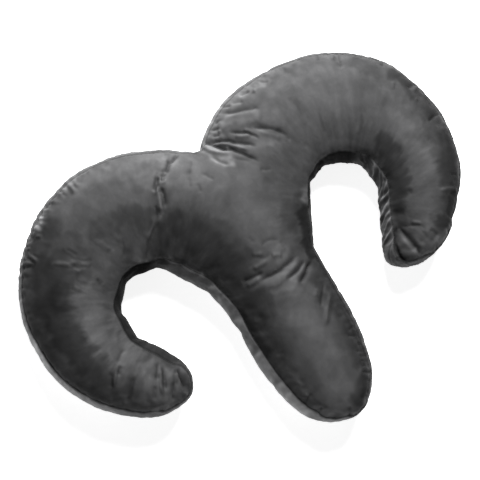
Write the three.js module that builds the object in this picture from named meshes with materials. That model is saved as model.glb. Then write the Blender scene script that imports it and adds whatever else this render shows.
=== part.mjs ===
// A spooning pillow: one filled velvet cushion with two curled arms and a leg between them,
// lying on its back. Millimetres, +Z up. The leg points to -Y and the arms spread along X.
// The pillow rests on z = 0, with the middle of its plan over the origin.
import * as THREE from "three";
import { mergeVertices } from "three/addons/utils/BufferGeometryUtils.js";

// Driving dimensions of the cover: a top panel, a bottom panel and a boxing band between them.
// Each inset is measured from the rim, which is where the band stands out furthest.
const topSeamHeight = 115;
const topSeamInset = 18;
const rimHeight = 60;
const lowSeamHeight = 20;
const lowSeamInset = 22;
const restInset = 52;
const crownRoundness = 0.66;

// How finely the skin is cut: steps along the rim for each row of the tables, and steps down
// each stretch of the half section
const stepsPerRow = 2;
const crownSteps = 9;
const upperBandSteps = 4;
const lowerBandSteps = 3;
const liftSteps = 3;
const mergeDistance = 1e-3;

// The point where the limbs meet, and the notches of the rim between them
const hub = { x: -15, y: 209, crown: 178 };
const topNotch = { x: -8, y: 351 };
const leftNotch = { x: -253, y: 133 };
const rightNotch = { x: 195, y: 106 };

// The sections of a limb have a row each: the middle, half the width at the rim's height, the
// turn in degrees from the middle to the rim that is walked first, and the height of the crown.
// Its tip has a row for each point: the turn and the reach from the middle of the last section.
const leftArm = {
  sections: [
    { x: -185, y: 269, half: 163, turn: 52, crown: 160 },
    { x: -252, y: 293, half: 160, turn: 68, crown: 166 },
    { x: -336, y: 293, half: 156, turn: 88, crown: 168 },
    { x: -414, y: 254, half: 151, turn: 108, crown: 168 },
    { x: -474, y: 190, half: 138, turn: 130, crown: 167 },
    { x: -499, y: 115, half: 130, turn: 152, crown: 166 },
    { x: -499, y: 23, half: 118, turn: 172, crown: 164 },
    { x: -463, y: -57, half: 110, turn: 191, crown: 161 },
    { x: -405, y: -128, half: 91, turn: 204, crown: 156 },
  ],
  tip: [
    { turn: 243, reach: 71 },
    { turn: 290, reach: 75 },
    { turn: 318, reach: 91 },
    { turn: 339, reach: 93 },
    { turn: 361, reach: 92 },
  ],
};
const leg = {
  sections: [
    { x: -16, y: 84, half: 200, turn: 181, crown: 176 },
    { x: -14, y: 35, half: 172, turn: 180, crown: 172 },
    { x: -17, y: -25, half: 149, turn: 180, crown: 170 },
    { x: -15, y: -101, half: 142, turn: 180, crown: 169 },
    { x: -17, y: -196, half: 142, turn: 180, crown: 168 },
    { x: -18, y: -286, half: 134, turn: 180, crown: 164 },
    { x: -18, y: -360, half: 114, turn: 179, crown: 155 },
  ],
  tip: [
    { turn: 203, reach: 99 },
    { turn: 235, reach: 90 },
    { turn: 275, reach: 90 },
    { turn: 309, reach: 94 },
    { turn: 337, reach: 100 },
  ],
};
const rightArm = {
  sections: [
    { x: 119, y: 254, half: 156, turn: 306, crown: 174 },
    { x: 162, y: 278, half: 158, turn: 295, crown: 172 },
    { x: 222, y: 296, half: 156, turn: 284, crown: 170 },
    { x: 316, y: 293, half: 153, turn: 263, crown: 169 },
    { x: 401, y: 259, half: 153, turn: 242, crown: 168 },
    { x: 465, y: 196, half: 147, turn: 223, crown: 168 },
    { x: 489, y: 122, half: 138, turn: 204, crown: 167 },
    { x: 490, y: 40, half: 128, turn: 186, crown: 166 },
    { x: 461, y: -32, half: 122, turn: 173, crown: 163 },
    { x: 391, y: -128, half: 97, turn: 163, crown: 155 },
  ],
  tip: [
    { turn: 181, reach: 106 },
    { turn: 195, reach: 115 },
    { turn: 213, reach: 108 },
    { turn: 234, reach: 91 },
    { turn: 266, reach: 76 },
    { turn: 310, reach: 76 },
  ],
};

// The deep fold across the root of the left arm, a row for each stretch: its two ends, half
// its width and its depth
const foldStretches = [
  { fromX: -70, fromY: 356, toX: -173, toY: 266, half: 22, depth: 9 },
  { fromX: -173, fromY: 266, toX: -263, toY: 169, half: 24, depth: 8 },
];

// A point of the plan at a turn and a reach from a row's middle
function planPoint(row, turn, reach) {
  const angle = THREE.MathUtils.degToRad(turn);
  return new THREE.Vector3(row.x + reach * Math.cos(angle), row.y + reach * Math.sin(angle), 0);
}

// One limb's part of the walk around the rim: the rim's points from its first notch, out to the
// tip and back, how far along the limb each of them faces, and the crown line that they face
function limbWalk(limb, firstNotch) {
  const { sections, tip } = limb;
  const end = sections.length;
  const outward = sections.map((row) => planPoint(row, row.turn, row.half));
  const around = tip.map((row) => planPoint(sections[end - 1], row.turn, row.reach));
  const back = sections.map((row) => planPoint(row, row.turn + 180, row.half)).reverse();
  const countUp = sections.map((_, i) => i + 1);
  return {
    rim: [new THREE.Vector3(firstNotch.x, firstNotch.y, 0), ...outward, ...around, ...back],
    along: [0, ...countUp, ...tip.map(() => end), ...countUp.toReversed(), 0],
    crownLine: new THREE.CatmullRomCurve3(
      [hub, ...sections].map((row) => new THREE.Vector3(row.x, row.y, row.crown)),
    ),
    end,
  };
}

// The whole walk, cut into even steps between the rows: at each, the rim and the crown it faces
function walkSteps() {
  const limbs = [
    limbWalk(leftArm, topNotch),
    limbWalk(leg, leftNotch),
    limbWalk(rightArm, rightNotch),
  ];
  const rim = new THREE.CatmullRomCurve3(limbs.flatMap((limb) => limb.rim), true);
  const steps = [];
  const stepCount = rim.points.length * stepsPerRow;
  for (const limb of limbs) {
    for (let i = 0; i < limb.rim.length * stepsPerRow; i += 1) {
      const row = Math.floor(i / stepsPerRow);
      const share = (i % stepsPerRow) / stepsPerRow;
      const along = THREE.MathUtils.lerp(limb.along[row], limb.along[row + 1], share);
      steps.push({
        rim: rim.getPoint(steps.length / stepCount),
        crown: limb.crownLine.getPoint(along / limb.end),
      });
    }
  }
  return steps;
}

// The half section from the crown to the middle of the underside, as distances out and heights:
// the crowned top panel, the bulging band, the lift below the lower seam and the flat rest
function halfSection(reach, crown) {
  const places = [];
  for (let i = 0; i <= crownSteps; i += 1) {
    const share = Math.sin((Math.PI / 2) * (i / crownSteps));
    const rise = (crown - topSeamHeight) * (1 - share ** 2) ** crownRoundness;
    places.push({ out: (reach - topSeamInset) * share, height: topSeamHeight + rise });
  }
  for (let i = 1; i <= upperBandSteps; i += 1) {
    const share = 1 - i / upperBandSteps;
    const height = THREE.MathUtils.lerp(rimHeight, topSeamHeight, share);
    places.push({ out: reach - topSeamInset * share ** 2, height });
  }
  for (let i = 1; i <= lowerBandSteps; i += 1) {
    const share = i / lowerBandSteps;
    const height = THREE.MathUtils.lerp(rimHeight, lowSeamHeight, share);
    places.push({ out: reach - lowSeamInset * share ** 2, height });
  }
  for (let i = 1; i <= liftSteps; i += 1) {
    const share = i / liftSteps;
    const inset = THREE.MathUtils.lerp(lowSeamInset, restInset, share);
    places.push({ out: reach - inset, height: lowSeamHeight * (1 - share) ** 2 });
  }
  places.push({ out: 0, height: 0 });
  return places;
}

// How far the deep fold presses the top panel down at a point of the plan
function foldDepth(point) {
  const depths = foldStretches.map(({ fromX, fromY, toX, toY, half, depth }) => {
    const stretch = new THREE.Line3(
      new THREE.Vector3(fromX, fromY, 0),
      new THREE.Vector3(toX, toY, 0),
    );
    const nearest = stretch.closestPointToPoint(point, true, new THREE.Vector3());
    return depth * Math.exp(-((nearest.distanceTo(point) / half) ** 2));
  });
  return Math.max(...depths);
}

// One step's half section in space, running out from the crown line towards the rim
function sectionPoints(step) {
  const middle = step.crown.clone().setZ(0);
  const way = step.rim.clone().sub(middle);
  const reach = way.length();
  way.normalize();
  return halfSection(reach, step.crown.z).map(({ out, height }) => {
    const point = middle.clone().addScaledVector(way, out);
    return point.setZ(height > topSeamHeight ? height - foldDepth(point) : height);
  });
}

// One vertex where triangles meet, and no triangle that has shrunk to a line
function closedSkin(corners) {
  const skin = mergeVertices(new THREE.BufferGeometry().setFromPoints(corners), mergeDistance);
  const index = skin.getIndex().array;
  const kept = [];
  for (let i = 0; i < index.length; i += 3) {
    const triangle = index.slice(i, i + 3);
    if (new Set(triangle).size === 3) {
      kept.push(...triangle);
    }
  }
  skin.setIndex(kept);
  skin.computeVertexNormals();
  return skin;
}

// The pillow's skin: half sections side by side all the way around, sharing the crown lines
function pillowGeometry() {
  const sections = walkSteps().map(sectionPoints);
  const corners = [];
  sections.forEach((section, i) => {
    const next = sections[(i + 1) % sections.length];
    for (let j = 0; j + 1 < section.length; j += 1) {
      corners.push(section[j], section[j + 1], next[j + 1]);
      corners.push(section[j], next[j + 1], next[j]);
    }
  });
  return closedSkin(corners);
}

const velvet = new THREE.MeshStandardMaterial({ color: 0x3f3f41, roughness: 0.95, metalness: 0 });

const pillow = new THREE.Mesh(pillowGeometry(), velvet);
pillow.name = "pillow";

const part = new THREE.Group();
part.add(pillow);

export default part;
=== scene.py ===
# A spooning pillow in dark grey velvet, seen from above on a white floor.
# Metres, +Z up. Tables of places on the pillow are in millimetres of its plan.
import math
import random

import bmesh
import bpy
import numpy as np
from mathutils import Matrix, Vector, noise
from mathutils.bvhtree import BVHTree
from mathutils.geometry import delaunay_2d_cdt
from mathutils.kdtree import KDTree


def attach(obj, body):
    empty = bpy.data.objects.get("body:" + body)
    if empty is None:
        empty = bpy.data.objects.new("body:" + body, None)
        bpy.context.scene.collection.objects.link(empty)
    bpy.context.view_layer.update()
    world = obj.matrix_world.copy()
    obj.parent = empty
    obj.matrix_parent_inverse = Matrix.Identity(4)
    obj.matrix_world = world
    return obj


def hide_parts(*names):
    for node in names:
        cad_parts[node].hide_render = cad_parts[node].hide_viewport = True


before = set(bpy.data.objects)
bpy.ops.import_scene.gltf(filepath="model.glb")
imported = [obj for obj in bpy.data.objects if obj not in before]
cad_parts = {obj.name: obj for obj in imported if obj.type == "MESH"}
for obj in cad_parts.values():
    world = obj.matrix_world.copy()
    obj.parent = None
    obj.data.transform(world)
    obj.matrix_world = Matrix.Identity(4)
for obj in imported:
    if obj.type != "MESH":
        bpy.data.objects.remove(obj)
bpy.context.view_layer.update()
scene = bpy.context.scene
mm = 0.001

cameraView = {
    "target": Vector((-0.0301, 0.0910, 0.06)),
    "distance": 2.10,
    "tilt": 10.0,  # degrees away from straight down
    "leanTowards": 208.4,  # plan direction in which the camera stands off
    "pictureTop": 59.15,  # plan direction that is up in the picture
    "lens": 60.0,
    "sensor": 36.0,
}


def planDirection(degrees):
    angle = math.radians(degrees)
    return Vector((math.cos(angle), math.sin(angle), 0))


def linked(thing):
    scene.collection.objects.link(thing)
    return thing


def makeCamera(view):
    tilt = math.radians(view["tilt"])
    back = planDirection(view["leanTowards"]) * math.sin(tilt) + Vector((0, 0, math.cos(tilt)))
    right = planDirection(view["pictureTop"]).cross(back).normalized()
    up = back.cross(right)
    lens = bpy.data.cameras.new("camera")
    lens.lens = view["lens"]
    lens.sensor_width = view["sensor"]
    camera = linked(bpy.data.objects.new("camera", lens))
    turn = Matrix((right, up, back)).transposed().to_4x4()
    camera.matrix_world = Matrix.Translation(view["target"] + back * view["distance"]) @ turn
    scene.camera = camera


makeCamera(cameraView)
print("camera in place")


# The cut of the cover: a top panel, a band and an underside, which meet at two seams
cut = {
    "topSeam": 0.115,  # heights of the frame's rings
    "rim": 0.060,
    "lowSeam": 0.020,
    "restInset": 0.030,  # from the lower seam in to where the underside lies flat
    "restShare": 0.8,  # of that inset, beyond which no fold lifts the underside
    "spacing": 0.0037,
    "underSpacing": 0.0095,
    "evenOut": 12.0,  # how widely the frame's facets are smoothed, mm
    "insetReach": 0.040,  # how far in the panel follows where its seam is moved
    "upperBand": 0.062,  # of cloth, from the rim up to the top seam and down to the lower one
    "lowerBand": 0.048,
}


# The seams differ from place to place. A row's place on the rim, x and y, comes first, and then how
# far around it the row counts, how high the puckers of the panel and the tucks of the band are,
# how far in the top seam lies beyond the frame's, in mm, and the band's painted light and shade in
# doublings: painted shade deep in the openings, painted light on the left and lower outer sides.
def seamPlace(x, y, hold, pucker, tuck, inset, light):
    return {"x": x, "y": y, "hold": hold, "pucker": pucker, "tuck": tuck, "inset": inset, "light": light}


seamPlaces = [
    seamPlace(300, 440, 130, 0.8, 0.8, -3, 1.0),
    seamPlace(500, 350, 100, 1.1, 1.0, -2, 0.6),
    seamPlace(600, 120, 130, 1.0, 0.6, 0, -0.3),
    seamPlace(560, -70, 110, 0.7, 0.5, -3, -0.5),
    seamPlace(420, -185, 60, 1.3, 0.8, -9, -0.2),
    seamPlace(345, -200, 30, 0.6, 0.8, -4, 1.0),
    seamPlace(300, -165, 45, 0.5, 1.2, -7, 1.2),
    seamPlace(312, -70, 60, 0.4, 1.2, -2, 1.1),
    seamPlace(370, 50, 80, 0.2, 1.4, 0, 1.3),
    seamPlace(362, -5, 26, 0.2, 1.4, 0, 0.4),
    seamPlace(368, 108, 22, 0.2, 1.6, 3, -0.3),
    seamPlace(242, 148, 22, 0.3, 1.5, 3, -3.2),
    seamPlace(300, 160, 50, 0.4, 2.2, 2, -1.9),
    seamPlace(210, 130, 55, 0.1, 0.4, -6, -2.9),
    seamPlace(120, -40, 100, 0.3, 0.4, 0, -1.3),
    seamPlace(95, -320, 90, 1.0, 0.8, 0, -0.5),
    seamPlace(60, -405, 35, 0.8, 0.6, 0, 0.6),
    seamPlace(5, -445, 35, 1.0, 0.6, -8, 0.9),
    seamPlace(-70, -418, 42, 0.8, 0.8, -4, 2.1),
    seamPlace(-115, -345, 50, 0.5, 0.6, 6, 2.7),
    seamPlace(-135, -285, 40, 0.4, 0.6, 8, 2.9),
    seamPlace(-145, -220, 95, 0.35, 0.5, 6, 2.2),
    seamPlace(-150, -130, 50, 0.3, 0.5, 1, 1.8),
    seamPlace(-155, -40, 75, 0.3, 0.5, 7, 2.2),
    seamPlace(-190, 70, 55, 0.15, 0.6, 14, 1.6),
    seamPlace(-245, 133, 22, 0.2, 1.4, 8, -0.2),
    seamPlace(-335, 150, 60, 0.15, 0.6, 0, -3.8),
    seamPlace(-395, 60, 75, 0.2, 0.6, 2, -2.7),
    seamPlace(-350, -55, 60, 0.5, 0.8, 4, -1.5),
    seamPlace(-318, -140, 45, 0.6, 0.8, -10, -0.9),
    seamPlace(-385, -192, 55, 1.2, 0.8, -8, 1.4),
    seamPlace(-470, -160, 50, 0.6, 0.8, 0, 1.7),
    seamPlace(-540, -100, 75, 0.6, 0.6, 3, 2.5),
    seamPlace(-610, 60, 110, 0.7, 0.6, 1, 3.1),
    seamPlace(-600, 200, 70, 0.8, 0.8, -3, 2.1),
    seamPlace(-510, 345, 75, 1.6, 1.6, -3, 1.1),
    seamPlace(-410, 415, 70, 1.3, 1.3, -3, 1.1),
    seamPlace(-280, 440, 90, 0.8, 1.0, -3, 1.2),
    seamPlace(-90, 400, 60, 0.9, 0.9, -2, 0.8),
    seamPlace(60, 395, 50, 0.6, 0.8, -6, 1.8),
]


def alongSeams(rim, name):
    # one column of the table, read for points of the rim
    rim = rim[:, :2] / mm
    weight = np.full(len(rim), 1e-6)
    level = np.zeros(len(rim))
    for place in seamPlaces:
        gap = np.hypot(rim[:, 0] - place["x"], rim[:, 1] - place["y"])
        near = np.exp(-2 * (gap / place["hold"]) ** 2)
        weight += near
        level += near * place[name]
    return level / weight


def ringAt(skin, height):
    on = {v for v in skin.verts if abs(v.co.z - height) < 1e-4}
    first = min(on, key=lambda v: (round(v.co.x, 5), round(v.co.y, 5)))
    ring = [first]
    while True:
        near = [e.other_vert(ring[-1]) for e in ring[-1].link_edges]
        ahead = [v for v in near if v in on and v not in ring[-2:]]
        if len(ring) == 1:
            ahead = ahead[:1]
        if first in ahead and len(ring) > 2 or not ahead:
            break
        ring.append(ahead[0])
    points = np.array([v.co for v in ring])
    x, y = points[:, 0], points[:, 1]
    area = np.sum(x * np.roll(y, -1) - y * np.roll(x, -1))
    return points if area > 0 else points[::-1]


def inStep(ring, outer):
    # turns a ring so that each point faces its own point of the outer one
    def spread(k):
        return np.std(np.linalg.norm((np.roll(ring, -k, 0) - outer)[:, :2], axis=1))
    return np.roll(ring, -min(range(len(ring)), key=spread), 0)


def smoothCurve(a, b, c, d, f):
    # the point at share f of a smooth curve from b on to c, which comes from a and goes on to d
    return 0.5 * (2 * b + (c - a) * f + (2 * a - 5 * b + 4 * c - d) * f**2
                  + (3 * b - a - 3 * c + d) * f**3)


def alongRing(ring, places):
    # smooth closed curve through the ring's points, read at fractional places
    low = np.floor(places).astype(int)
    a, b, c, d = (ring[(low + k) % len(ring)] for k in (-1, 0, 1, 2))
    return smoothCurve(a, b, c, d, (places - low)[:, None])


def evenPlaces(ring, spacing, detail=40):
    # fractional places that lie evenly around the ring, and how long the ring is
    fine = np.linspace(0, len(ring), len(ring) * detail + 1)
    points = alongRing(ring, fine)
    run = np.r_[0, np.cumsum(np.linalg.norm(np.diff(points, axis=0), axis=1))]
    count = round(run[-1] / spacing)
    return np.interp(np.arange(count) * run[-1] / count, run, fine), run[-1]


def insideOutline(points, outline):
    inside = np.zeros(len(points), bool)
    x, y = points[:, 0], points[:, 1]
    for (ax, ay), (bx, by) in zip(outline, np.roll(outline, -1, 0)):
        if ay != by:
            crosses = (ay > y) != (by > y)
            inside ^= crosses & (x < ax + (y - ay) * (bx - ax) / (by - ay))
    return inside


def treeOf(points):
    tree = KDTree(len(points))
    for i, point in enumerate(points):
        tree.insert(point, i)
    tree.balance()
    return tree


def nearestOf(points, places):
    # index of and distance to the nearest of some points, for each place
    tree = treeOf(points)
    found = [tree.find(place)[1:] for place in places]
    return np.array([i for i, _ in found]), np.array([d for _, d in found])


def flat(points):
    return np.c_[points[:, :2], np.zeros(len(points))]


def fillPanel(outline, spacing, clear=0.62):
    # even triangles inside an outline, which keeps its own points and some room beside them
    rows = np.arange(outline[:, 1].min(), outline[:, 1].max(), spacing * math.sqrt(3) / 2)
    columns = np.arange(outline[:, 0].min(), outline[:, 0].max(), spacing)
    x, y = np.meshgrid(columns, rows)
    x = x + (np.arange(len(rows)) % 2)[:, None] * spacing / 2
    points = np.c_[x.ravel(), y.ravel()]
    points = points[insideOutline(points, outline)]
    _, gap = nearestOf(flat(outline), flat(points))
    points = np.r_[outline, points[gap > clear * spacing]]
    ring = [list(range(len(outline)))]
    filled = delaunay_2d_cdt([Vector(p) for p in points], [], ring, 1, 1e-8, False)
    places, faces = np.array(filled[0]), np.array(filled[2])
    faces = faces[insideOutline(places[faces].mean(1), outline)]
    a, b, c = (places[faces[:, k]] for k in range(3))
    turn = (b[:, 0] - a[:, 0]) * (c[:, 1] - a[:, 1]) - (b[:, 1] - a[:, 1]) * (c[:, 0] - a[:, 0])
    faces[turn < 0] = faces[turn < 0][:, ::-1]
    return places, faces


def evened(values, edges, free, rounds, share=0.6):
    # moves each free value towards the mean of its neighbours, again and again
    ends = np.r_[edges, edges[:, ::-1]]
    count = np.maximum(np.bincount(ends[:, 0], minlength=len(values)), 1)
    values = values.copy()
    for _ in range(rounds):
        mean = np.bincount(ends[:, 0], values[ends[:, 1]], len(values)) / count
        values[free] += share * (mean - values)[free]
    return values


def edgesOf(faces):
    pairs = np.concatenate([faces[:, [0, 1]], faces[:, [1, 2]], faces[:, [2, 0]]])
    return np.unique(np.sort(pairs, axis=1), axis=0)


class Cover:
    # the cover as arrays: its points, its faces, and where each point lies on the cut
    def __init__(self, rings, tree, spacing, underSpacing):
        places, self.perimeter = evenPlaces(rings[1], spacing)
        top, rim, low = (alongRing(ring, places) for ring in rings)
        count = len(top)
        self.count = count
        panel, panelFaces = fillPanel(top[:, :2], spacing)
        height = np.array([self.skinHeight(tree, p) for p in panel])
        height[:count] = cut["topSeam"]
        free = np.arange(len(panel)) >= count
        # the smoothing reaches twice as far in four times the rounds
        rounds = round((cut["evenOut"] * mm / spacing) ** 2 * 2)
        height = evened(height, edgesOf(panelFaces), free, rounds)
        self.panelSize = len(panel)
        nearest, gap = nearestOf(flat(top), flat(panel))
        way = top[:, :2] - rim[:, :2]
        way *= (alongSeams(rim, "inset") * mm / np.linalg.norm(way, axis=1))[:, None]
        panel = panel + way[nearest] * np.exp(-((gap / cut["insetReach"]) ** 2))[:, None]
        top[:, :2] = panel[:count]
        # the band: from the top seam out to the rim, and in again to the lower seam
        upper = round(cut["upperBand"] / spacing)
        lower = round(cut["lowerBand"] / spacing)
        shares = [1 - k / upper for k in range(1, upper + 1)]
        rows = [self.bandRow(rim, top, s, "topSeam") for s in shares]
        rows += [self.bandRow(rim, low, k / lower, "lowSeam") for k in range(1, lower + 1)]
        self.bandRows = len(rows)
        firstUnder = len(panel) + len(rows) * count
        under, underFaces = fillPanel(low[:, :2], underSpacing)
        _, inset = nearestOf(flat(low), flat(under))
        lift = cut["lowSeam"] * np.clip(1 - inset / cut["restInset"], 0, 1) ** 2
        self.points = np.concatenate([
            np.c_[panel, height],
            *rows,
            np.c_[under, lift][count:],
        ])
        # rows of the band by index, with the top seam as the first of them
        index = np.arange(count)
        starts = [index] + [len(panel) + k * count + index for k in range(len(rows))]
        bandFaces = []
        for above, below in zip(starts, starts[1:]):
            bandFaces.append(np.c_[above, below, np.roll(below, -1), np.roll(above, -1)])
        lowRing = starts[-1]
        underIndex = np.r_[lowRing, firstUnder + np.arange(len(under) - count)]
        self.triangles = np.r_[panelFaces, underIndex[underFaces][:, ::-1]]
        self.quads = np.concatenate(bandFaces)
        self.topRing, self.lowRing = index, lowRing
        self.flatPlan = self.points[:, :2].copy()
        self.firstUnder = firstUnder
        self.measure()

    def skinHeight(self, tree, place):
        hit = tree.ray_cast(Vector((place[0], place[1], 1)), Vector((0, 0, -1)))[0]
        return hit.z if hit else cut["topSeam"]

    def bandRow(self, rim, seam, share, seamName):
        row = rim + (seam - rim) * share**2
        row[:, 2] = cut["rim"] + (cut[seamName] - cut["rim"]) * share
        return row

    def measure(self):
        # run along the seam and distance from each seam, for every point
        panel = self.points[: self.panelSize]
        index, self.fromTop = nearestOf(flat(panel[: self.count]), flat(panel))
        step = self.perimeter / self.count
        band = self.points[self.panelSize : self.firstUnder].reshape(self.bandRows, self.count, 3)
        paths = np.concatenate([panel[: self.count][None], band])
        lengths = np.cumsum(np.linalg.norm(np.diff(paths, axis=0), axis=2), axis=0)
        under = self.points[self.firstUnder :]
        underIndex, fromLow = nearestOf(flat(band[-1]), flat(under))
        bandIndex = np.tile(np.arange(self.count), self.bandRows)
        self.run = np.concatenate([index, bandIndex, underIndex]) * step
        far = 1.0  # metres, where a seam is out of reach
        toLow = (lengths[-1] - lengths).ravel()
        self.fromLow = np.concatenate([np.full(len(panel), far), toLow, fromLow])
        self.fromTop = np.concatenate([self.fromTop, lengths.ravel(), np.full(len(under), far)])
        size = len(self.points)
        self.onTop = np.arange(size) < self.panelSize
        self.onUnder = np.arange(size) >= self.firstUnder
        self.onBand = ~self.onTop & ~self.onUnder

    def mesh(self, name):
        faces = self.triangles.tolist() + self.quads.tolist()
        mesh = bpy.data.meshes.new(name)
        mesh.from_pydata(self.points.tolist(), [], faces)
        mesh.update()
        return mesh

    def normals(self):
        mesh = self.mesh("measure")
        found = np.empty(len(self.points) * 3)
        mesh.vertex_normals.foreach_get("vector", found)
        bpy.data.meshes.remove(mesh)
        return found.reshape(-1, 3)


def frameRings():
    skin = bmesh.new()
    skin.from_mesh(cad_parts["pillow"].data)
    bmesh.ops.remove_doubles(skin, verts=skin.verts, dist=1e-5)
    skin.normal_update()
    rim = ringAt(skin, cut["rim"])
    top = inStep(ringAt(skin, cut["topSeam"]), rim)
    low = inStep(ringAt(skin, cut["lowSeam"]), rim)
    tree = BVHTree.FromBMesh(skin)
    skin.free()
    return (top, rim, low), tree


rings, skinTree = frameRings()
cover = Cover(rings, skinTree, cut["spacing"], cut["underSpacing"])
print("cover cut:", len(cover.points), "points, perimeter", round(cover.perimeter, 3))


# How the filling swells the cover: cloth under pressure, sewn down at both seams
filling = {
    "spacing": 0.0085,
    "underSpacing": 0.014,
    "crown": 0.80,  # the share of the crown and of the band's bulge that it starts from
    "bulge": 0.88,
    "pressure": 4.0,
    "ease": 0.012,  # spare cloth, which puckers beside the seams
    "frames": 20,
    "quality": 5,
    "stiffness": 15.0,
    "bending": 2.0,
    "farthest": 0.026,  # the most that a point may move
    "calmFrom": 0.035,
    "calmRounds": 24,
    "carryReach": 0.7,  # of the plain copy's spacing
}


def slackened(cover):
    # the cover before it is filled: a lower crown and a flatter band
    points = cover.points.copy()
    top = cover.onTop
    points[top, 2] = cut["topSeam"] + (points[top, 2] - cut["topSeam"]) * filling["crown"]
    band = points[cover.panelSize : cover.firstUnder].reshape(cover.bandRows, cover.count, 3)
    above, below = points[: cover.count], band[-1].copy()
    share = (band[:, :, 2] - cut["topSeam"]) / (cut["lowSeam"] - cut["topSeam"])
    chord = above + (below - above) * share[:, :, None]
    band[:] = chord + (band - chord) * filling["bulge"]
    return points


def swollen(cover, start):
    # runs the simulation on a plain copy and gives how far each point moves
    cover.points, kept = start, cover.points
    trial = linked(bpy.data.objects.new("trial", cover.mesh("trial")))
    cover.points = kept
    sewn = trial.vertex_groups.new(name="sewn")
    held = np.r_[np.flatnonzero(cover.onUnder), cover.topRing, cover.lowRing]
    sewn.add(held.tolist(), 1.0, "REPLACE")
    cloth = trial.modifiers.new("cloth", "CLOTH")
    rules = cloth.settings
    rules.quality = filling["quality"]
    rules.tension_stiffness = rules.compression_stiffness = filling["stiffness"]
    rules.bending_stiffness = filling["bending"]
    rules.use_pressure = True
    rules.uniform_pressure_force = filling["pressure"]
    rules.vertex_group_mass = sewn.name
    rules.shrink_min = -filling["ease"]
    rules.effector_weights.gravity = 0
    cloth.point_cache.frame_end = filling["frames"]
    for step in range(1, filling["frames"] + 1):
        scene.frame_set(step)
    settled = trial.evaluated_get(bpy.context.evaluated_depsgraph_get()).data
    moved = np.empty(len(start) * 3)
    settled.vertices.foreach_get("co", moved)
    bpy.data.objects.remove(trial)
    scene.frame_set(1)
    move = moved.reshape(-1, 3) - start
    length = np.linalg.norm(move, axis=1, keepdims=True)
    return move * np.minimum(1, filling["farthest"] / np.maximum(length, 1e-9))


def carried(move, start, places, reach, count=7):
    # the same movement read at other places, as a mean of the nearest points
    tree = treeOf(start)
    found = np.zeros((len(places), 3))
    for i, place in enumerate(places):
        near = tree.find_n(place, count)
        weights = np.array([math.exp(-((d / reach) ** 2)) for _, _, d in near])
        found[i] = weights @ move[[k for _, k, _ in near]] / weights.sum()
    return found


def fill(cover):
    plain = Cover(rings, skinTree, filling["spacing"], filling["underSpacing"])
    plainStart, start = slackened(plain), slackened(cover)
    move = swollen(plain, plainStart)
    move[plain.onUnder] = 0
    # the middle of the panel keeps only the broad swell, since its folds are given one by one
    calm = plain.onTop & (plain.fromTop > filling["calmFrom"])
    edges = edgesOf(plain.triangles)
    move = np.column_stack([evened(part, edges, calm, filling["calmRounds"]) for part in move.T])
    reach = filling["carryReach"] * filling["spacing"]
    cover.points = start + carried(move, plainStart, start, reach)
    print("filled: crown", round(cover.points[:, 2].max(), 4))


fill(cover)


# Folds of the top panel, listed in millimetres of the plan. A fold sinks by its depth, or
# stands up where that is negative. Then come the widths of its left and right sides, seen along its
# path, and the path. It fades out at both ends unless it says how much of it is left there.
def fold(depth, left, right, *path, start=0, end=0):
    return {"path": path, "depth": depth, "left": left, "right": right, "start": start, "end": end}


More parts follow.
